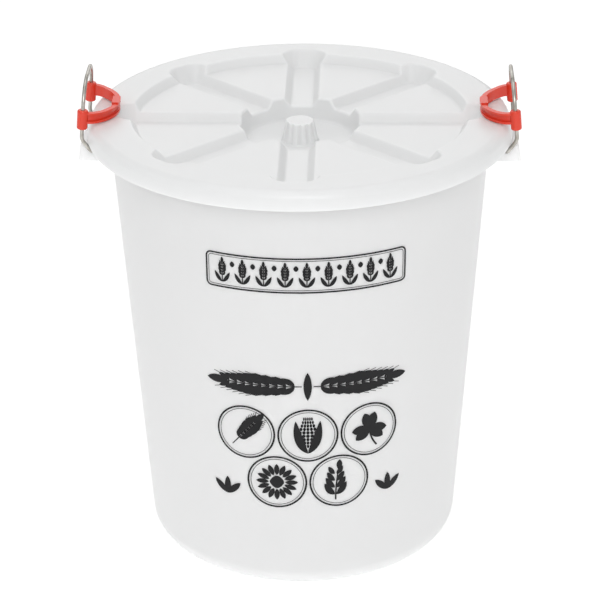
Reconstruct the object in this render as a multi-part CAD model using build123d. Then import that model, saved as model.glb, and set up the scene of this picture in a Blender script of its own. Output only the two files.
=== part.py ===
from build123d import *
from math import atan, atan2, cos, degrees, pi, radians, sin, tan
import os

# Livestock feed tub: a tapered moulded drum, a lid that drops over its rim, and two wire
# bails at the sides. Each bail carries a red plastic latch that swings over the lid's edge
# and holds it down. Millimetres, Z up, origin on the floor under the middle of the tub.
# X runs through the two bails, and the print side faces -Y.

# Tub
tub_height = 472.0          # floor to the top of the rim
base_radius = 164.9         # outside of the wall, carried down to the floor
mouth_radius = 198.1        # outside of the wall at the top of the rim
tub_wall = 2.8
base_corner = 21.0          # outside radius between wall and base
base_rise = 3.0             # height of the base inside its standing ring
foot_width = 14.0           # width of the standing ring
rim_width = 14.4            # how far the rim turns out past the wall
rim_drop = 13.0             # height of the rim's turned-down edge

# Lid
lid_wall = 2.4
lid_gap = 0.3               # height between rim and lid
skirt_gap = 0.8             # room between rim and skirt, each side
edge_radius = 10.0          # outside radius of the lid's edge
skirt_depth = 18.6          # top of the lid to the skirt's lower edge
skirt_flare = 4.4           # how far the skirt leans out over its depth
border_width = 40.5         # flat border from the lid's edge to the step
step_run = 6.0              # how far the step slopes
panel_drop = 8.7            # border down to the sunken panels
plug_depth = 8.6            # ring under the border that centres the lid in the mouth
plug_gap = 0.9              # room between that ring and the tub's wall

# Eight radial grooves between the panels
groove_count = 8
groove_floor = 23.0         # width of a groove's floor
groove_drop = 17.7          # border down to a groove's floor
groove_slope = 36.0         # lean of a groove's sides, from upright
groove_margin = 25.7        # lid's edge in to where a groove runs out in the border
groove_corner = 6.0         # plan radius of a groove's outer corners
groove_bend = 4.0           # radius between a groove's floor and its sides
groove_brow = 3.0           # radius between a panel and a groove's sides

# Hub recess and its finger knob
hub_radius = 63.5
hub_run = 3.5               # how far the hub's wall slopes
hub_drop = 32.7             # border down to the hub's floor
knob_base = 19.0            # radius
knob_top = 14.6             # radius
knob_height = 23.0
flute_count = 12
flute_radius = 3.6
flute_depth = 1.1

# Bails
wire_diameter = 4.0
leg_spacing = 82.0          # between the two legs' middles
pivot_out = 0.1             # pivot beyond the rim
pivot_drop = 27.4           # top of the rim down to the pivot
shoulder_out = 10.2         # pivot out to the foot of the leg
shoulder_rise = 14.5        # pivot up to the foot of the leg
lean = 5.1                  # degrees that a leg leans in over the lid
bail_height = 73.0          # pivot up to the middle of the grip
grip_corner = 28.0
pivot_bend = 5.0
shoulder_bend = 10.0
wire_tail = 6.0             # how far the wire's end passes the lug's wall

# Lugs that the bails turn in
lug_gap = 1.0               # leg to the lug's side
lug_wall = 2.8
lug_reach = 15.0            # pivot out to the lug's lower edge
lug_below = 10.4            # pivot down to the lug's lower edge
lug_height = 17.0
lug_draft = 8.0             # degrees
lug_round = 3.0
hole_gap = 0.1              # radial room round the wire

# Latches
sleeve_diameter = 11.2
sleeve_length = 20.6
sleeve_rise = 36.4          # pivot up to the middle of a sleeve
sleeve_gap = 0.05           # radial room round the wire
sleeve_round = 1.8
latch_gap = 0.35            # nose to the lid's border
nose_reach = 35.0           # leg's middle in to the tip of the nose, at sleeve height
nose_curve = 50.0           # plan radius of the band's outer face across the nose
shoulder_curve = 15.0       # plan radius where the band turns into an arm
band_depth = 5.0            # inner face to outer face
band_web = 2.2
band_height = 10.8
band_flange = 2.2
band_tilt = 3.6             # degrees that the band rises towards the wire
arm_flare = 0.9             # how much taller an arm gets at its sleeve
nose_width = 19.0
nose_depth = 8.2
nose_height = 12.2

# Values that follow from these
lid_top = tub_height + lid_gap + lid_wall
rim_radius = mouth_radius + rim_width
lid_radius = rim_radius + skirt_gap + lid_wall
wall_slope = (mouth_radius - base_radius) / tub_height
wire_radius = wire_diameter / 2
leg_y = leg_spacing / 2
pivot_x = rim_radius + pivot_out
pivot_z = tub_height - pivot_drop
lug_y = leg_y - wire_radius - lug_gap


def wall_radius(z):
    """Outside radius of the tub's wall at a height."""
    return base_radius + wall_slope * z


def turned(points, radii):
    """Solid turned about Z from a closed outline of (radius, height) points."""
    outline = FilletPolyline(*[(r, 0, z) for r, z in points], radius=radii, close=True)
    return revolve(make_face(outline), Axis.Z)


def lug(side):
    """Hollow lug, open below, that the bail's two ends turn in."""
    low = pivot_z - lug_below
    inner = wall_radius(low) - tub_wall
    outer = pivot_x + lug_reach
    hollow_rise = lug_height - lug_wall
    body = Pos((inner + outer) / 2, 0, low) * Rectangle(outer - inner, 2 * lug_y)
    body = extrude(body, lug_height, taper=lug_draft)
    body = fillet(body.faces().sort_by(Axis.Z)[-1].edges() + body.edges().filter_by(
        lambda edge: edge.bounding_box().size.Z > lug_height / 2), lug_round)
    hollow = Pos((inner + outer - 2 * lug_wall) / 2, 0, low)
    hollow *= Rectangle(outer - inner, 2 * (lug_y - lug_wall))
    hollow = extrude(hollow, hollow_rise, taper=lug_draft)
    web = Pos((inner + outer) / 2, 0, low + lug_height / 2)
    web *= Box(outer - inner - 2 * lug_wall, lug_wall, lug_height - lug_wall)
    holes = Pos(pivot_x, 0, pivot_z) * Rot(90, 0, 0)
    holes *= Cylinder(wire_radius + hole_gap, 2 * leg_y)
    return Rot(0, 0, 0 if side > 0 else 180) * (body - hollow + web - holes)


def tub():
    """Drum with a rounded base, a standing ring and a rim that turns out and down."""
    inside = wall_radius(0) - tub_wall
    rim_corner = edge_radius - lid_wall - lid_gap
    ring = base_radius - base_corner
    shell = turned(
        [(0, base_rise), (ring - foot_width, base_rise), (ring - foot_width + base_rise, 0),
         (base_radius, 0), (mouth_radius - wall_slope * tub_wall, tub_height - tub_wall),
         (rim_radius - tub_wall, tub_height - tub_wall), (rim_radius - tub_wall, tub_height - rim_drop),
         (rim_radius, tub_height - rim_drop), (rim_radius, tub_height),
         (mouth_radius - tub_wall, tub_height), (inside, base_rise + tub_wall),
         (0, base_rise + tub_wall)],
        [0, 1.2, 1.2, base_corner, 3.0, rim_corner - tub_wall, 0.6, 0.6, rim_corner, 5.0,
         base_corner - tub_wall, 0])
    room = turned([(0, base_rise + tub_wall), (inside, base_rise + tub_wall),
                   (mouth_radius - tub_wall, tub_height), (0, tub_height)], [0, 0, 0, 0])
    return shell + (lug(1) - room) + (lug(-1) - room)


def lid_form(inset):
    """All that lies under the lid's upper face, or under a face that much further in."""
    panel = lid_top - panel_drop - inset
    hub_floor = lid_top - hub_drop - inset
    step = lid_radius - border_width + inset
    knob_inset = inset + flute_depth if inset else 0
    skirt_low = lid_top - skirt_depth
    skirt_out = lid_radius + skirt_flare - inset
    below = hub_floor - 20
    bend = max(3.0 - inset, 0.5)
    rows = [
        (0, below, 0), (0, hub_floor + knob_height, 0),
        (knob_top - knob_inset, hub_floor + knob_height, 2.6 - inset / 2),
        (knob_base - knob_inset, hub_floor, 2.0 + inset / 2),
        (hub_radius - hub_run + inset, hub_floor, 4.0 + inset), (hub_radius + inset, panel, bend),
        (step - step_run, panel, 3.0 + inset), (step, lid_top - inset, bend),
        (lid_radius - inset, lid_top - inset, edge_radius - inset), (skirt_out, skirt_low, 0)]
    if inset:
        rows.append((skirt_out + 2 * inset, skirt_low, 0))
    rows.append((rows[-1][0], below, 0))
    return turned([row[:2] for row in rows], [row[2] for row in rows])


def groove(inset):
    """Space of one groove, with sloping sides and a sloping outer end."""
    rise = groove_drop + inset
    run = groove_drop * tan(radians(groove_slope))
    grown = inset * (1 / cos(radians(groove_slope)) - tan(radians(groove_slope)))
    start = knob_base + flute_radius + 2 * run
    end = lid_radius - groove_margin - run + grown
    floor = Pos((start + end) / 2, 0, lid_top - rise) * Rectangle(end - start, groove_floor + 2 * grown)
    floor = fillet(floor.vertices().group_by(Axis.X)[-1], groove_corner)
    space = extrude(floor, rise + 1, taper=-groove_slope)
    return fillet(space.faces().sort_by(Axis.Z)[0].edges(), groove_bend + inset / 2)


def lid():
    """Lid of even wall, with sunken panels, radial grooves and a hub with a fluted knob."""
    upper = lid_form(0) - PolarLocations(0, groove_count) * groove(0)
    panel = lid_top - panel_drop
    brows = [edge for edge in upper.edges() if edge.geom_type != GeomType.CIRCLE
             and edge.bounding_box().size.Z < 0.1 and abs(edge.center().Z - panel) < 0.1]
    upper = fillet(brows, groove_brow)
    lower = lid_form(lid_wall) - PolarLocations(0, groove_count) * groove(lid_wall)
    flute = Pos((knob_base + knob_top) / 2 + flute_radius - flute_depth, 0,
                lid_top - hub_drop + knob_height / 2)
    knob_lean = (knob_base - knob_top) / knob_height
    flute *= Rot(0, -degrees(atan(knob_lean)), 0) * Cylinder(flute_radius, 2 * knob_height)
    flutes = PolarLocations(0, flute_count) * flute
    clear = Pos(0, 0, lid_top - hub_drop + 2 + knob_height) * Cylinder(hub_radius, 2 * knob_height)
    mouth = mouth_radius - wall_slope * plug_depth - tub_wall - plug_gap
    ring_low = tub_height - plug_depth
    plug = turned([(mouth - lid_wall, ring_low), (mouth, ring_low), (mouth, lid_top - lid_wall / 2),
                   (mouth - lid_wall, lid_top - lid_wall / 2)], [0.8, 0.8, 0, 0])
    return upper - [cut & clear for cut in flutes] - lower + plug


def bail(side):
    """Wire bail: two ends in the lug, two cranked legs and a rounded grip."""
    foot = (pivot_x + shoulder_out, pivot_z + shoulder_rise)
    top_x = foot[0] - (bail_height - shoulder_rise) * tan(radians(lean))
    tail = lug_y - lug_wall - wire_tail
    half = [(pivot_x, tail, pivot_z), (pivot_x, leg_y, pivot_z), (foot[0], leg_y, foot[1]),
            (top_x, leg_y, pivot_z + bail_height)]
    other = [(x, -y, z) for x, y, z in reversed(half)]
    path = FilletPolyline(*half, *other, radius=[pivot_bend, shoulder_bend, grip_corner,
                                                grip_corner, shoulder_bend, pivot_bend])
    section = Plane(origin=half[0], z_dir=(0, 1, 0)) * Circle(wire_radius)
    wire = sweep(section, path=path)
    return wire if side > 0 else wire.mirror(Plane.YZ)


def band_plan(leg_x, inset):
    """Plan of the band: two arms, tight shoulders and a broad curve across the nose."""
    arm_y = leg_y + band_depth / 2 - inset
    across = leg_y + band_depth / 2 - shoulder_curve
    reach = nose_curve - shoulder_curve
    back = (reach ** 2 - across ** 2) ** 0.5
    middle = leg_x - nose_reach + nose_curve
    angle = atan2(across, -back)
    broad = nose_curve - inset
    tight = shoulder_curve - inset
    halfway = (angle + pi / 2) / 2
    turn = (middle + broad * cos(angle), broad * sin(angle))
    bend = (middle - back + tight * cos(halfway), across + tight * sin(halfway))
    start = (middle - back, arm_y)
    outline = Curve() + [
        Line((leg_x, -arm_y), (start[0], -arm_y)),
        ThreePointArc((start[0], -arm_y), (bend[0], -bend[1]), (turn[0], -turn[1])),
        ThreePointArc((turn[0], -turn[1]), (middle - broad, 0), turn),
        ThreePointArc(turn, bend, start),
        Line(start, (leg_x, arm_y)), Line((leg_x, arm_y), (leg_x, -arm_y))]
    return make_face(outline)


def band_side(inset):
    """Side view of the band, taller where each arm meets its sleeve."""
    low = -band_height / 2 + inset
    high = band_height / 2 - inset
    far = -2 * nose_reach
    outline = Polyline((far, 0, low), (0, 0, low), (0, 0, high + arm_flare),
                       (-sleeve_diameter / 2, 0, high + arm_flare),
                       (-nose_reach / 2, 0, high), (far, 0, high), close=True)
    return extrude(make_face(outline), 2 * leg_spacing, both=True)


def latch(side):
    """Red latch: a sleeve on each leg and a channel band that reaches over the lid's edge."""
    leg_x = pivot_x + shoulder_out - (sleeve_rise - shoulder_rise) * tan(radians(lean))
    tilt = radians(band_tilt)
    band_z = lid_top + latch_gap + nose_reach * sin(tilt) + band_height / 2 * cos(tilt)
    tall = 2 * band_height
    ring = Pos(0, 0, -tall) * extrude(band_plan(0, 0) - band_plan(0, band_depth), 2 * tall)
    thick = Pos(0, 0, -band_height / 2) * extrude(band_plan(0, 0) - band_plan(0, nose_depth), nose_height)
    nose = thick & Pos(-nose_reach, 0, 0) * Box(2 * nose_depth, nose_width, 4 * tall)
    channel = Pos(0, 0, -tall) * extrude(band_plan(0, -1) - band_plan(0, band_depth - band_web), 2 * tall)
    band = (ring & band_side(0)) + nose - (channel & band_side(band_flange))
    shape = Pos(leg_x, 0, band_z) * Rot(0, -band_tilt, 0) * band
    for y in (-leg_y, leg_y):
        place = Pos(leg_x, y, pivot_z + sleeve_rise) * Rot(0, -lean, 0)
        tube = Cylinder(sleeve_diameter / 2, sleeve_length)
        shape += place * fillet(tube.edges().filter_by(GeomType.CIRCLE), sleeve_round)
    for y in (-leg_y, leg_y):
        place = Pos(leg_x, y, pivot_z + sleeve_rise) * Rot(0, -lean, 0)
        shape -= place * Cylinder(wire_radius + sleeve_gap, 2 * sleeve_length)
    return shape if side > 0 else shape.mirror(Plane.YZ)


if __name__ == "__main__":
    os.makedirs("parts", exist_ok=True)
    export_step(tub(), "parts/tub.step")
    export_step(lid(), "parts/lid.step")
    for name, side in (("left", -1), ("right", 1)):
        export_step(bail(side), f"parts/bail_{name}.step")
        export_step(latch(side), f"parts/latch_{name}.step")
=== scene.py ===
from math import cos, pi, radians, sin

import bpy
import numpy as np
from mathutils import Euler, Matrix, Vector


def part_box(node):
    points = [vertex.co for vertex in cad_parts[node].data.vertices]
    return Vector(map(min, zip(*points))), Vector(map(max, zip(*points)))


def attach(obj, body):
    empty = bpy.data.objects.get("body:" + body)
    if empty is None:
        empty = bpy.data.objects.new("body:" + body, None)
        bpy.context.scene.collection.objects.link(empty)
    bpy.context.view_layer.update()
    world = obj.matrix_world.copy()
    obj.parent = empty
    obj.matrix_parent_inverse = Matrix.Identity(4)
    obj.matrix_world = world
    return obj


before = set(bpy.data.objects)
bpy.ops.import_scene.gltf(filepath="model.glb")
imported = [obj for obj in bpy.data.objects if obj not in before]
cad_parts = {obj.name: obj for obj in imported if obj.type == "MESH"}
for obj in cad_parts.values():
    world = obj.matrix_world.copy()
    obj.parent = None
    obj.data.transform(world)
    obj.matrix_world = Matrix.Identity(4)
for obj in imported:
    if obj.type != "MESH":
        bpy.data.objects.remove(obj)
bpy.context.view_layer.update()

# Drum of the tub: natural polyethylene, milky and slightly see-through, moulded in one
# with its rim and the two lugs. The wall is satin, with a faint flow pattern and fine
# grain left by the mould, and it looks a little denser where the wall is thick.
# Set lighter than the lid's colour, though both are one plastic: painted light that lifts the wall shaded
# under the lid's skirt.
tub_colour = (0.938, 0.946, 0.946, 1)


def add_node(tree, kind, place, **settings):
    """Puts a node of a kind into a node tree, with its plain settings."""
    node = tree.nodes.new(kind)
    node.location = place
    for name, value in settings.items():
        setattr(node, name, value)
    return node


def mould_finish():
    """Node group: cloudy flow marks from wide noise, fine grain from tight noise."""
    group = bpy.data.node_groups.new("MouldFinish", "ShaderNodeTree")
    sockets = group.interface
    for name, kind, value in (("Colour", "NodeSocketColor", (0.8, 0.8, 0.8, 1)),
                              ("Cloudiness", "NodeSocketFloat", 0.03),
                              ("Roughness", "NodeSocketFloat", 0.35),
                              ("Grain", "NodeSocketFloat", 0.1)):
        sockets.new_socket(name, in_out="INPUT", socket_type=kind).default_value = value
    for name, kind in (("Colour", "NodeSocketColor"), ("Roughness", "NodeSocketFloat"),
                       ("Normal", "NodeSocketVector")):
        sockets.new_socket(name, in_out="OUTPUT", socket_type=kind)
    entry = add_node(group, "NodeGroupInput", (-900, 0))
    leave = add_node(group, "NodeGroupOutput", (700, 0))
    place = add_node(group, "ShaderNodeTexCoord", (-900, -300))
    clouds = add_node(group, "ShaderNodeTexNoise", (-600, 200))
    clouds.inputs["Scale"].default_value = 9
    clouds.inputs["Detail"].default_value = 3
    grain = add_node(group, "ShaderNodeTexNoise", (-600, -300))
    grain.inputs["Scale"].default_value = 900
    grain.inputs["Detail"].default_value = 2
    centred = add_node(group, "ShaderNodeMath", (-400, 200), operation="SUBTRACT")
    centred.inputs[1].default_value = 0.5
    amount = add_node(group, "ShaderNodeMath", (-200, 200), operation="MULTIPLY")
    level = add_node(group, "ShaderNodeMath", (0, 200), operation="ADD")
    level.inputs[1].default_value = 1
    tint = add_node(group, "ShaderNodeVectorMath", (200, 200), operation="SCALE")
    rough = add_node(group, "ShaderNodeMath", (200, 0), operation="ADD")
    bump = add_node(group, "ShaderNodeBump", (200, -300))
    bump.inputs["Distance"].default_value = 0.0002
    link = group.links.new
    link(place.outputs["Object"], clouds.inputs["Vector"])
    link(place.outputs["Object"], grain.inputs["Vector"])
    link(clouds.outputs["Fac"], centred.inputs[0])
    link(centred.outputs[0], amount.inputs[0])
    link(entry.outputs["Cloudiness"], amount.inputs[1])
    link(amount.outputs[0], level.inputs[0])
    link(entry.outputs["Colour"], tint.inputs[0])
    link(level.outputs[0], tint.inputs["Scale"])
    link(amount.outputs[0], rough.inputs[0])
    link(entry.outputs["Roughness"], rough.inputs[1])
    link(entry.outputs["Grain"], bump.inputs["Strength"])
    link(grain.outputs["Fac"], bump.inputs["Height"])
    link(tint.outputs[0], leave.inputs["Colour"])
    link(rough.outputs[0], leave.inputs["Roughness"])
    link(bump.outputs["Normal"], leave.inputs["Normal"])
    return group


def moulded(name, colour, cloudiness, roughness, grain):
    """A plastic whose colour, roughness and grain come from the mould finish."""
    material = bpy.data.materials.new(name)
    material.use_nodes = True
    material.diffuse_color = colour
    tree = material.node_tree
    shader = tree.nodes["Principled BSDF"]
    finish = add_node(tree, "ShaderNodeGroup", (-300, 200), node_tree=finish_group)
    finish.inputs["Colour"].default_value = colour
    finish.inputs["Cloudiness"].default_value = cloudiness
    finish.inputs["Roughness"].default_value = roughness
    finish.inputs["Grain"].default_value = grain
    for output, socket in (("Colour", "Base Color"), ("Roughness", "Roughness"), ("Normal", "Normal")):
        tree.links.new(finish.outputs[output], shader.inputs[socket])
    return material, shader


def wear(part, material):
    """Gives a CAD node its material."""
    part.data.materials.clear()
    part.data.materials.append(material)


def let_light_in(shader, depth):
    """Lets light into a white plastic, alike in all colours, to a depth in metres."""
    shader.inputs["Subsurface Weight"].default_value = 0.85
    shader.inputs["Subsurface Radius"].default_value = (1, 1, 1)
    shader.inputs["Subsurface Scale"].default_value = depth
    shader.inputs["IOR"].default_value = 1.5
    shader.inputs["Specular IOR Level"].default_value = 0.45


finish_group = mould_finish()
milky, milky_shader = moulded("milky_plastic", tub_colour, 0.05, 0.36, 0.12)
let_light_in(milky_shader, 0.009)
wear(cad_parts["tub"], milky)

# Lid: a separate moulding of the same polyethylene. Its colour is set darker than the tub's as painted shade,
# to even out the stronger light on its upturned top and skirt. Its grooved top, hub and knob are one skin,
# and it rests on the tub's rim.
lid_colour_with_painted_shade = (0.8, 0.805, 0.806, 1)
lid_plastic, lid_shader = moulded("lid_plastic", lid_colour_with_painted_shade, 0.04, 0.33, 0.12)
let_light_in(lid_shader, 0.004)
wear(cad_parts["lid"], lid_plastic)

# Bails: drawn steel wire, zinc plated, bent cold. Plating leaves a warm grey shine with
# fine die lines along the wire and duller patches where it has been handled.
wire_colour = (0.5, 0.475, 0.43, 1)
steel = bpy.data.materials.new("plated_wire")
steel.use_nodes = True
steel.diffuse_color = wire_colour
steel_tree = steel.node_tree
steel_shader = steel_tree.nodes["Principled BSDF"]
steel_shader.inputs["Metallic"].default_value = 1
wire_place = add_node(steel_tree, "ShaderNodeTexCoord", (-1000, 0))
patches = add_node(steel_tree, "ShaderNodeTexNoise", (-700, 200))
patches.inputs["Scale"].default_value = 120
patches.inputs["Detail"].default_value = 4
dulling = add_node(steel_tree, "ShaderNodeMapRange", (-400, 0))
dulling.inputs["To Min"].default_value = 0.2
dulling.inputs["To Max"].default_value = 0.42
shades = add_node(steel_tree, "ShaderNodeValToRGB", (-400, 300))
shades.color_ramp.elements[0].position = 0.3
shades.color_ramp.elements[0].color = (0.36, 0.34, 0.3, 1)
shades.color_ramp.elements[1].position = 0.7
shades.color_ramp.elements[1].color = (0.62, 0.6, 0.56, 1)
die_lines = add_node(steel_tree, "ShaderNodeTexNoise", (-700, -300))
die_lines.inputs["Scale"].default_value = 2500
line_bump = add_node(steel_tree, "ShaderNodeBump", (-300, -300))
line_bump.inputs["Strength"].default_value = 0.15
line_bump.inputs["Distance"].default_value = 0.0001
for source, socket in ((wire_place.outputs["Object"], patches.inputs["Vector"]),
                       (wire_place.outputs["Object"], die_lines.inputs["Vector"]),
                       (patches.outputs["Fac"], dulling.inputs["Value"]),
                       (patches.outputs["Fac"], shades.inputs["Fac"]),
                       (shades.outputs["Color"], steel_shader.inputs["Base Color"]),
                       (dulling.outputs["Result"], steel_shader.inputs["Roughness"]),
                       (die_lines.outputs["Fac"], line_bump.inputs["Height"]),
                       (line_bump.outputs["Normal"], steel_shader.inputs["Normal"])):
    steel_tree.links.new(source, socket)
for side in ("left", "right"):
    wear(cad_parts[f"bail_{side}"], steel)

# Latches: red acetal mouldings, glossy, pressed over the bail's legs. Thin edges let a
# little light through, so they look more orange than the sleeves.
red_colour = (0.74, 0.05, 0.022, 1)
red, red_shader = moulded("red_plastic", red_colour, 0.12, 0.24, 0.05)
red_shader.inputs["Subsurface Weight"].default_value = 0.25
red_shader.inputs["Subsurface Radius"].default_value = (1, 0.25, 0.1)
red_shader.inputs["Subsurface Scale"].default_value = 0.002
red_shader.inputs["Specular IOR Level"].default_value = 0.5
for side in ("left", "right"):
    wear(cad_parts[f"latch_{side}"], red)

# Print: black ink laid on the front of the drum. A frame of sprigs stands over a garland
# of grain and five round stamps with plants in them. It is a thin film on the wall.
ink_lift = 0.00012
print_turn = radians(3.4)
tub_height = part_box("tub")[1][2]
base_radius = 0.1649
mouth_radius = 0.1981


def on_wall(across, height):
    """Points on the drum: arc length across from the print's middle, and height.

    The radius is that of the cone at the point's own height, plus the ink's thickness, and
    the angle is the arc length over that radius.
    """
    radius = base_radius + (mouth_radius - base_radius) * height / tub_height + ink_lift
    angle = print_turn + across / radius
    return np.stack([radius * np.sin(angle), -radius * np.cos(angle), height], -1)


class Ink:
    """Collects flat patches of ink, each a grid of points across and up the wall."""

    def __init__(self):
        self.points, self.faces, self.count = [], [], 0

    def patch(self, across, height):
        """Adds a grid of points, rows by columns, as quads that face outwards."""
        rows, columns = across.shape
        index = np.arange(rows * columns).reshape(rows, columns) + self.count
        quads = np.stack([index[:-1, :-1], index[:-1, 1:], index[1:, 1:], index[1:, :-1]], -1)
        self.points.append(on_wall(across, height).reshape(-1, 3))
        self.faces.append(quads.reshape(-1, 4))
        self.count += rows * columns

    def blade(self, x, z, length, width, turn, curl=0.0, steps=10):
        """Leaf or kernel: its half width is a sine of the way along, raised to 0.7, and
        its midline bends by curl times the square of the way along."""
        along, side = np.meshgrid(np.linspace(0, 1, steps), np.linspace(1, -1, 5), indexing="ij")
        half = width / 2 * np.sin(pi * along).clip(0, 1) ** 0.7
        u = length * along
        v = side * half + curl * length * along ** 2
        self.patch(x + u * cos(turn) - v * sin(turn), z + u * sin(turn) + v * cos(turn))

    def stroke(self, x, z, width, step=0.0015):
        """Line of ink along a path of places. The path is cut into even steps, and each of
        its points is moved half the width to either side, at right angles to the path."""
        reach = np.concatenate([[0], np.cumsum(np.hypot(np.diff(x), np.diff(z)))])
        even = np.linspace(0, reach[-1], int(reach[-1] / step) + 3)
        u, v = np.interp(even, reach, x), np.interp(even, reach, z)
        length = np.hypot(np.gradient(u), np.gradient(v))
        across, up = np.gradient(u) / length, np.gradient(v) / length
        side = np.array([0.5, -0.5]) * width
        self.patch(u[:, None] - side * up[:, None], v[:, None] + side * across[:, None])

    def frame(self, x, z, width, height, corner, line):
        """Closed frame: four quarter circles joined by straight sides, begun halfway along
        the lower side."""
        turn = np.radians(np.linspace(-90, 0, 7)[None, :] + 90 * np.arange(4)[:, None])
        away = np.array([[1, -1], [1, 1], [-1, 1], [-1, -1]])
        u = x + away[:, :1] * (width / 2 - corner) + corner * np.cos(turn)
        v = z + away[:, 1:] * (height / 2 - corner) + corner * np.sin(turn)
        self.stroke(np.concatenate([[x], u.ravel(), [x]]),
                    np.concatenate([[z - height / 2], v.ravel(), [z - height / 2]]), line)

    def ear(self, x, z, length, turn, kernels, kernel_length, kernel_width, awn, bare=0.36, spread=0.72):
        """Ear of grain: a stem, bare at first, pairs of kernels spread out from it, and awns."""
        ahead = np.array([cos(turn), sin(turn)])
        aside = np.array([-sin(turn), cos(turn)])
        tail = np.array([x, z])
        tip = tail + length * ahead
        self.stroke(*np.stack([tail, tail + 0.94 * length * ahead]).T, 0.0011)
        for k in range(kernels):
            spot = tail + ahead * length * (bare + (0.94 - bare) * k / kernels)
            size = 1 - 0.35 * abs(2 * k / (kernels - 1) - 0.8)
            for way in (-1, 1):
                start = spot + way * aside * 0.0006
                self.blade(*start, kernel_length * size, kernel_width * size, turn + way * spread, -way * 0.2)
                if awn:
                    reach = start + (ahead * cos(0.55) + way * aside * sin(0.55)) * kernel_length * size
                    far = reach + (ahead * cos(0.3) + way * aside * sin(0.3)) * awn
                    self.stroke(*np.stack([reach, far]).T, 0.0006)
        self.blade(*(tip - ahead * kernel_length * 0.5), kernel_length, kernel_width, turn)

    def piece(self, name, material):
        """Makes one mesh of all the patches."""
        mesh = bpy.data.meshes.new(name)
        mesh.from_pydata(np.concatenate(self.points).tolist(), [],
                         np.concatenate(self.faces).tolist())
        mesh.materials.append(material)
        mesh.update()
        thing = bpy.data.objects.new(name, mesh)
        bpy.context.collection.objects.link(thing)
        return thing


ink_material, ink_shader = moulded("black_ink", (0.006, 0.006, 0.007, 1), 0.2, 0.55, 0.08)
ink_shader.inputs["Specular IOR Level"].default_value = 0.3
ink = Ink()

frame_width = 0.2066
ink.frame(0, 0.3748, frame_width, 0.0376, 0.005, 0.0017)
ink.frame(0, 0.3748, frame_width - 0.005, 0.0326, 0.003, 0.0006)
sprigs = 9
sprig_pitch = (frame_width - 0.013) / sprigs
for k in range(sprigs):
    x = (k - (sprigs - 1) / 2) * sprig_pitch
    ink.ear(x, 0.3618, 0.0245, radians(90), 5, 0.0072, 0.0031, 0, 0.3)
    for way in (-1, 1):
        ink.blade(x, 0.3618, 0.0135, 0.0042, radians(90 - way * 52), way * 0.3)
    if k < sprigs - 1:
        ink.blade(x + sprig_pitch / 2, 0.3795, 0.0066, 0.005, radians(90))

garland_height = 0.2478
for turn in (0, pi):
    ink.ear(0.006 * cos(turn), garland_height, 0.089, turn, 9, 0.0235, 0.0094, 0.006, 0.08)
ink.blade(0, garland_height - 0.0165, 0.033, 0.0085, radians(90))

stamp_radius, stamp_pitch = 0.0305, 0.065
upper_row, lower_row = 0.1895, 0.1325
for x, z in ((-1, upper_row), (0, upper_row), (1, upper_row), (-0.5, lower_row), (0.5, lower_row)):
    for radius, line in ((stamp_radius, 0.0019), (stamp_radius - 0.0029, 0.0006)):
        turn = np.linspace(0, 2 * pi, 73)
        ink.stroke(x * stamp_pitch + radius * np.cos(turn), z + radius * np.sin(turn), line)

ink.ear(-stamp_pitch - 0.0145, upper_row - 0.0165, 0.045, radians(50), 7, 0.0165, 0.0072, 0.004, 0.25)
for row in range(9):
    for column in range(-2, 3):
        narrowing = 1 - abs(row - 3.2) / 9
        ink.blade(column * 0.0044 * narrowing, upper_row - 0.015 + row * 0.0041,
                  0.0044, 0.0038 * narrowing, radians(90))
for way in (-1, 1):
    ink.blade(0, upper_row - 0.0215, 0.038, 0.0098, radians(90 - way * 40), way * 0.4, 16)
clover_z = upper_row + 0.001
for k in range(3):
    for way in (-1, 1):
        ink.blade(stamp_pitch, clover_z, 0.0195, 0.0115, radians(90 + (k - 1) * 112 + way * 17), 0)
ink.stroke(stamp_pitch + 0.008 * np.linspace(0, 1, 9) ** 2, clover_z - np.linspace(0, 0.0215, 9), 0.0019)

petals = 16
for turn in np.arange(petals) * 2 * pi / petals:
    ink.blade(-stamp_pitch / 2 + 0.0085 * cos(turn), lower_row + 0.0085 * sin(turn), 0.0135, 0.0056, turn)
ink.blade(-stamp_pitch / 2 - 0.0076, lower_row, 0.0152, 0.0152, 0, 0, 24)
twig = np.linspace(0, 1, 12)
ink.stroke(stamp_pitch / 2 - 0.004 + 0.004 * twig ** 2, lower_row - 0.023 + 0.042 * twig, 0.0016)
for k in range(4):
    for way in (-1, 1):
        ink.blade(stamp_pitch / 2 - 0.004 + way * 0.0007, lower_row - 0.0165 + 0.0085 * k,
                  0.0175 - 0.0022 * k, 0.0074 - 0.0006 * k, radians(90 - way * 52), way * 0.25)
ink.blade(stamp_pitch / 2 - 0.0005, lower_row + 0.0135, 0.0125, 0.0062, radians(86))
for way in (-1, 1):
    for k in range(3):
        ink.blade(way * 0.0865, lower_row - 0.0225, 0.021, 0.0072, radians(90 + (k - 1) * 44), 0)
ink_print = ink.piece("print", ink_material)
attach(ink_print, "tub")

# Room: a wide pale floor that the tub stands on, with soft studio light from the front,
# from above and from behind. The camera looks down at the front of the drum.
look_at = Vector((0.0045, 0, 0.251))
camera_pitch = radians(25.53)
camera_roll = radians(-0.53)
camera_turn = radians(1.7)
camera_distance = 2.618
focal_share = 2437 / 612
floor_size = 40

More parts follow.
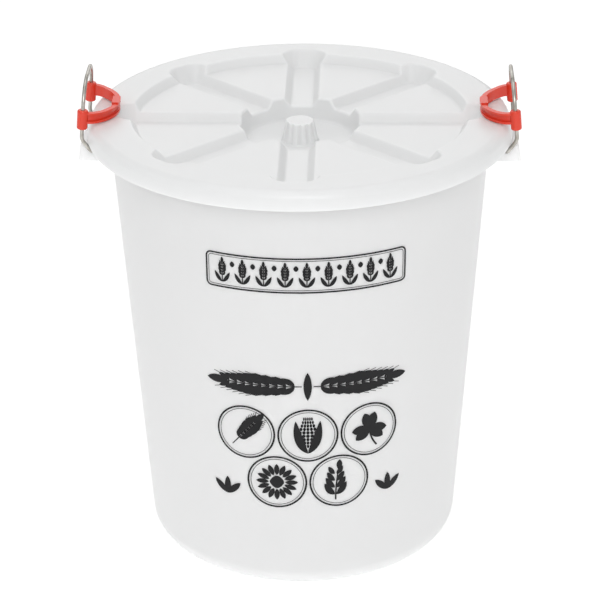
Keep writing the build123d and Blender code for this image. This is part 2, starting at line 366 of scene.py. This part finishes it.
floor_mesh = bpy.data.meshes.new("floor")
floor_grid = np.array([(-1, -1, 0), (1, -1, 0), (1, 1, 0), (-1, 1, 0)]) * floor_size / 2
floor_mesh.from_pydata(floor_grid.tolist(), [], [(0, 1, 2, 3)])
floor = bpy.data.objects.new("floor", floor_mesh)
bpy.context.collection.objects.link(floor)
floor_paint = bpy.data.materials.new("floor_paint")
floor_paint.use_nodes = True
floor_shader = floor_paint.node_tree.nodes["Principled BSDF"]
floor_shader.inputs["Base Color"].default_value = (0.9, 0.9, 0.9, 1)
floor_shader.inputs["Roughness"].default_value = 0.9
floor_shader.inputs["Emission Color"].default_value = (1, 1, 1, 1)
floor_shader.inputs["Emission Strength"].default_value = 0.3
floor_mesh.materials.append(floor_paint)

world = bpy.data.worlds.new("studio")
world.use_nodes = True
backdrop = world.node_tree.nodes["Background"]
backdrop.inputs["Color"].default_value = (1, 1, 1, 1)
backdrop.inputs["Strength"].default_value = 0.6
bpy.context.scene.world = world
bpy.context.scene.view_settings.view_transform = "Standard"


def soft_light(name, place, target, size, power):
    """Square area light at a place, aimed at a target."""
    lamp = bpy.data.lights.new(name, "AREA")
    lamp.energy = power
    lamp.size = size
    thing = bpy.data.objects.new(name, lamp)
    thing.location = place
    thing.rotation_euler = (Vector(target) - Vector(place)).to_track_quat("-Z", "Y").to_euler()
    bpy.context.collection.objects.link(thing)


soft_light("front", (0.05, -2.7, 2.2), (0, 0, 0.3), 1.4, 28)
soft_light("top", (-0.2, 0.1, 3.0), (0, 0, 0.45), 2.2, 15)
soft_light("back", (-0.2, 2.4, 1.6), (0, 0, 0.4), 1.6, 6)

camera_data = bpy.data.cameras.new("camera")
camera_data.sensor_width = 36
camera_data.lens = focal_share * 36
camera = bpy.data.objects.new("camera", camera_data)
spin = Matrix.Rotation(camera_turn, 3, "Z")
aim = Vector((0, cos(camera_pitch), -sin(camera_pitch)))
camera.location = spin @ (look_at - camera_distance * aim)
facing = spin @ Euler((pi / 2 - camera_pitch, 0, 0)).to_matrix() @ Matrix.Rotation(camera_roll, 3, "Z")
camera.rotation_euler = facing.to_euler()
bpy.context.collection.objects.link(camera)
bpy.context.scene.camera = camera
